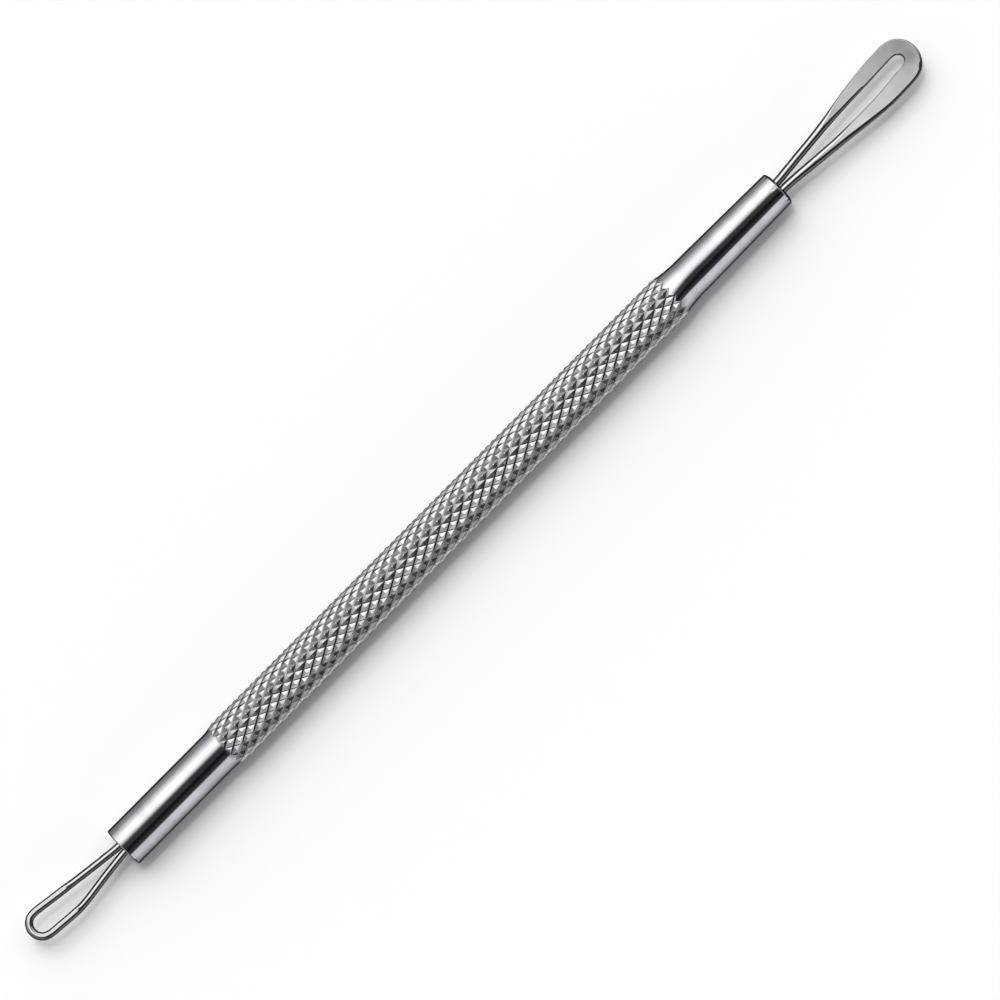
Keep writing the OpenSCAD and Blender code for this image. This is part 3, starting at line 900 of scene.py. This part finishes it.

# %% [markdown]
# Polished steel on a white table would mirror the table up to its very edges and get lost in
# it. A photographer lays a grey card under and beside it for that, dark near the steel and
# paler further out, and a black card at each end, which gives the wires and the end faces
# their dark edges. Here the cards show only in reflections. The grey card glows with its own
# shades, so it is a painted reflection of the table, and on the shadow's side its dark part
# near the steel is also a painted shadow of the tool. They lie just over the table.

# %% The cards under the tool
CARD_SIZE = (800, 1600)
CARD_REACH = 60
CARD = [(-60, 0.88), (-20, 0.75), (-9, 0.62), (-6, 0.45), (-4, 0.18), (0, 0.12), (4.2, 0.11),
        (5.6, 0.19), (7.5, 0.36), (20, 0.40), (60, 0.54)]
BLACK_CARDS = ((-80, -53.2), (46.2, 80))
BLACK_CARD_WIDTH = 60


def lay_card(name, material, size, middle_x, lift):
    """A card on the table that only reflections show."""
    bm = bmesh.new()
    bmesh.ops.create_grid(bm, x_segments=1, y_segments=1, size=0.5)
    bmesh.ops.scale(bm, vec=(size[0] * MM, size[1] * MM, 1), verts=bm.verts)
    bmesh.ops.translate(bm, verts=bm.verts, vec=(middle_x * MM, 0, (FLOOR_Z + lift) * MM))
    mesh = bpy.data.meshes.new(name)
    bm.to_mesh(mesh)
    bm.free()
    mesh.materials.append(material)
    card = bpy.data.objects.new(name, mesh)
    card.visible_camera = card.visible_diffuse = card.visible_shadow = False
    bpy.context.scene.collection.objects.link(card)
    print(name, "is", round(size[0], 1), "by", size[1], "mm")


# The grey card glows: a painted reflection of the table, whose dark part near the tool is also a
# painted shadow of it.
card_grey, tree, shader = new_material("card_grey")
place = add_node(tree, "ShaderNodeTexCoord").outputs["Object"]
aside = add_node(tree, "ShaderNodeSeparateXYZ", {0: place}).outputs["Y"]
across = from_to(tree, aside, 0, 1, -CARD_REACH * MM, CARD_REACH * MM)
shade = add_node(tree, "ShaderNodeValToRGB", {0: across})
fill_ramp(shade, [((y + CARD_REACH) / (2 * CARD_REACH), grey(level, 1.02)) for y, level in CARD])
glow = add_node(tree, "ShaderNodeEmission", {"Color": shade.outputs[0], "Strength": 1})
tree.links.new(glow.outputs[0], tree.nodes["Material Output"].inputs["Surface"])
lay_card("grey_card", card_grey, CARD_SIZE, middle_x=0, lift=0.02)

card_black, tree, shader = new_material("card_black")
shader.inputs["Base Color"].default_value = grey(0.03)
shader.inputs["Roughness"].default_value = 0.9
for start, end in BLACK_CARDS:
    size = (end - start, BLACK_CARD_WIDTH)
    lay_card("black_card", card_black, size, middle_x=(start + end) / 2, lift=0.03)


# %% [markdown]
# Light comes from a large soft box on the side of the photograph's upper left, so the shadow
# falls softly to the other side. A dark ceiling beside the box gives the steel its black
# stripe, and a bright wall beyond it the pale one. The world holds all that. Its colour goes
# first of all by the angle about the tool's axis, from straight up towards +Y, because a bar
# shows the room round it as stripes.
#
# It also goes by how far a direction leans along the axis, which matters to the knurl alone:
# its facets lean, and mirror what is nearer to the tool's two ends. Beyond the thin neck the
# box reaches further over the tool. The walls at both ends are grey, and brighter on the box's
# side. The pale wall is dimmer away from the middle. A ramp holds no colour over 1, so the
# tent's levels are divided by LEVEL and multiplied by it again after.

# %% The light tent
TENT = [(-180, 0.9), (-100, 0.92), (-68, 0.96), (-57, 0.92), (-54, 0.06), (-36, 0.035),
        (-28, 0.01), (-17, 0.012), (-12, 0.05), (6, 0.06), (10, 0.12), (18.5, 0.92), (25, 1.3),
        (32, 1.75), (50, 1.75), (57, 1.7), (68, 1.25), (80, 0.9), (92, 0.6), (120, 0.4), (180, 0.4)]
LEVEL = 2.0
LILAC, LILAC_BELOW = (1, 0.985, 1.02), 8
SLANTS = ((0, 22, 13), (22, 28, 20))
SLANTED_FROM, SLANTED_TO = (-45, -30), 48
PALE_WALL, DIM_LEAN, DIM = (-54, -50), (10, 20), 0.5
END_WALLS = [(-90, 0.6), (-50, 0.42), (-38, 0.3), (-31, 0.33), (-20, 0.33), (44, 0.33),
             (52, 0.42), (90, 0.6)]
WALLS_FROM, WALLS_TO = (-55.5, -51.5), (98, 102)
THICK_END_WALL, THIN_END_WALL = (-27, -21), (40, 48)
WALL_SHADY, WALL_SUNNY, SUNNY_SIDE = 0.75, 1.6, (-10, 40)

world = bpy.data.worlds.new("light_tent")
bpy.context.scene.world = world
world.use_nodes = True
tree = world.node_tree


def by_degrees(value, first, last, start, end):
    """first up to the start angle, last from the end angle on, and between them in between."""
    return from_to(tree, value, first, last, math.radians(start), math.radians(end))


def scaled(color, factor):
    return add_node(tree, "ShaderNodeVectorMath", {0: color, "Scale": factor},
                    operation="SCALE").outputs[0]


direction = add_node(tree, "ShaderNodeTexCoord").outputs["Generated"]
direction = add_node(tree, "ShaderNodeSeparateXYZ", {0: direction}).outputs
angle = compute(tree, "ARCTAN2", direction["Y"], direction["Z"])
lean = compute(tree, "ARCSINE", direction["X"])

slant = compute(tree, "ADD", *(by_degrees(lean, 0, math.radians(more), start, end)
                               for start, end, more in SLANTS))
slant = compute(tree, "MULTIPLY", slant, by_degrees(angle, 0, 1, *SLANTED_FROM))
highest = compute(tree, "MAXIMUM", angle, math.radians(SLANTED_TO))
slanted = compute(tree, "MINIMUM", compute(tree, "ADD", angle, slant), highest)
tent = add_node(tree, "ShaderNodeValToRGB", {0: by_degrees(slanted, 0, 1, -180, 180)})
tints = [LILAC if degrees < LILAC_BELOW else (1, 1, 1) for degrees, _ in TENT]
fill_ramp(tent, [((degrees + 180) / 360, (*(level / LEVEL * part for part in tint), 1))
                 for (degrees, level), tint in zip(TENT, tints)])
aside = compute(tree, "ABSOLUTE", lean)
dim = compute(tree, "MULTIPLY", by_degrees(aside, 0, DIM, *DIM_LEAN),
              by_degrees(angle, 1, 0, *PALE_WALL))
kept = compute(tree, "SUBTRACT", 1.0, dim)
bright = scaled(tent.outputs[0], compute(tree, "MULTIPLY", kept, LEVEL))

end_wall = add_node(tree, "ShaderNodeValToRGB", {0: by_degrees(lean, 0, 1, -90, 90)})
fill_ramp(end_wall, [((degrees + 90) / 180, grey(level, 1.01)) for degrees, level in END_WALLS])
wall = scaled(end_wall.outputs[0], by_degrees(angle, WALL_SHADY, WALL_SUNNY, *SUNNY_SIDE))
above = compute(tree, "MULTIPLY", by_degrees(angle, 0, 1, *WALLS_FROM),
                by_degrees(angle, 1, 0, *WALLS_TO))
ends = compute(tree, "ADD", by_degrees(lean, 1, 0, *THICK_END_WALL),
               by_degrees(lean, 0, 1, *THIN_END_WALL))
ends = compute(tree, "MULTIPLY", ends, above)
total = add_node(tree, "ShaderNodeMix", {"Factor": ends}, data_type="RGBA")
tree.links.new(bright, total.inputs[6])
tree.links.new(wall, total.inputs[7])
tree.links.new(total.outputs[2], tree.nodes["Background"].inputs["Color"])
print("the light tent has", len(tree.nodes), "nodes")

# %% [markdown]
# The middle of a soft box is brighter than its edges, because the lamp sits behind it. Two sun
# lamps stand for it: a wide disc gives the soft shadow beside the tool, and a small one,
# nearer to straight above, the firmer edge close to it. The tent already shows the soft box in
# reflections, so the lamps are hidden from them.


# %% The core of the light
def soft_lamp(name, direction, energy, spread):
    """A lamp far away in a direction, seen as a disc of some degrees."""
    data = bpy.data.lights.new(name, "SUN")
    data.energy = energy
    data.angle = math.radians(spread)
    lamp = bpy.data.objects.new(name, data)
    lamp.rotation_euler = Vector(direction).to_track_quat("Z", "Y").to_euler()
    lamp.visible_glossy = False
    bpy.context.scene.collection.objects.link(lamp)
    print(name, "is", spread, "degrees wide")


soft_lamp("soft_box_core", (0.20, 0.62, 1.0), energy=0.93, spread=32)
soft_lamp("soft_box_edge", (0.09, 0.315, 1.0), energy=0.50, spread=8)
